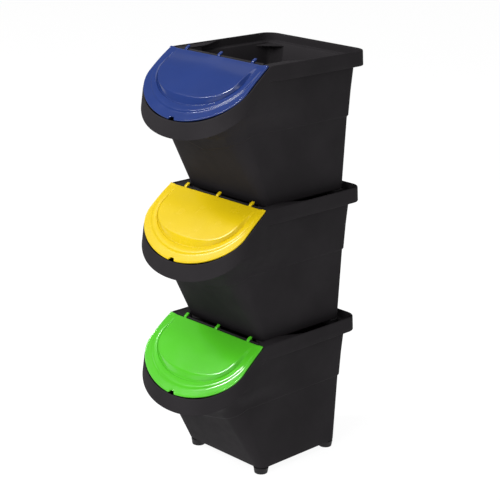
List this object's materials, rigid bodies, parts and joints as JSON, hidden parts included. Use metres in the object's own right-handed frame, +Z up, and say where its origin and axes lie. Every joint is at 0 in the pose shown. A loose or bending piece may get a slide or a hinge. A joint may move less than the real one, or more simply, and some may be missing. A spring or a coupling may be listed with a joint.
{
  "type": "stacking recycling bin station",
  "caption": "Free-standing tower of stacked sorting bins, each a tapered open-top tub with a rounded scoop mouth at the front, closed by a sloping hinged flap in its own colour.",
  "frame": {"origin": "centre of the whole object's box in plan, on the surface that the bottom bin's feet stand on", "axes": "+Z up, +X to the right of someone facing the mouths, the mouths and flaps face -Y"},
  "size_m": [0.306, 0.4386, 0.933],
  "materials": {
    "black_moulding": "satin injection-moulded polypropylene, lightly textured",
    "green_flap": "gloss",
    "yellow_flap": "gloss",
    "blue_flap": "gloss",
    "hinge_rod": "smooth satin",
    "foot": "matte"
  },
  "bodies": {
    "bottom_bin": {"bottom_container": "black_moulding", "bottom_hinge_rod": "hinge_rod", "bottom_foot_front_left": "foot", "bottom_foot_front_right": "foot", "bottom_foot_rear_left": "foot", "bottom_foot_rear_right": "foot"},
    "bottom_lid": {"bottom_flap": "green_flap"},
    "middle_bin": {"middle_container": "black_moulding", "middle_hinge_rod": "hinge_rod", "middle_foot_front_left": "foot", "middle_foot_front_right": "foot", "middle_foot_rear_left": "foot", "middle_foot_rear_right": "foot"},
    "middle_lid": {"middle_flap": "yellow_flap"},
    "top_bin": {"top_container": "black_moulding", "top_hinge_rod": "hinge_rod", "top_foot_front_left": "foot", "top_foot_front_right": "foot", "top_foot_rear_left": "foot", "top_foot_rear_right": "foot"},
    "top_lid": {"top_flap": "blue_flap"}
  },
  "joints": [
    {"name": "bottom_lid_hinge", "type": "hinge", "parent": "bottom_bin", "child": "bottom_lid", "pos_m": [0, -0.0768, 0.3215], "axis": [-1, 0, 0], "range_deg": [0, 90]},
    {"name": "middle_bin_lift", "type": "slide", "parent": "bottom_bin", "child": "middle_bin", "axis": [0, 0, 1], "range_m": [0, 0.12]},
    {"name": "middle_lid_hinge", "type": "hinge", "parent": "middle_bin", "child": "middle_lid", "pos_m": [0, -0.0768, 0.6225], "axis": [-1, 0, 0], "range_deg": [0, 90]},
    {"name": "top_bin_lift", "type": "slide", "parent": "middle_bin", "child": "top_bin", "axis": [0, 0, 1], "range_m": [0, 0.12]},
    {"name": "top_lid_hinge", "type": "hinge", "parent": "top_bin", "child": "top_lid", "pos_m": [0, -0.0768, 0.9235], "axis": [-1, 0, 0], "range_deg": [0, 135]}
  ]
}
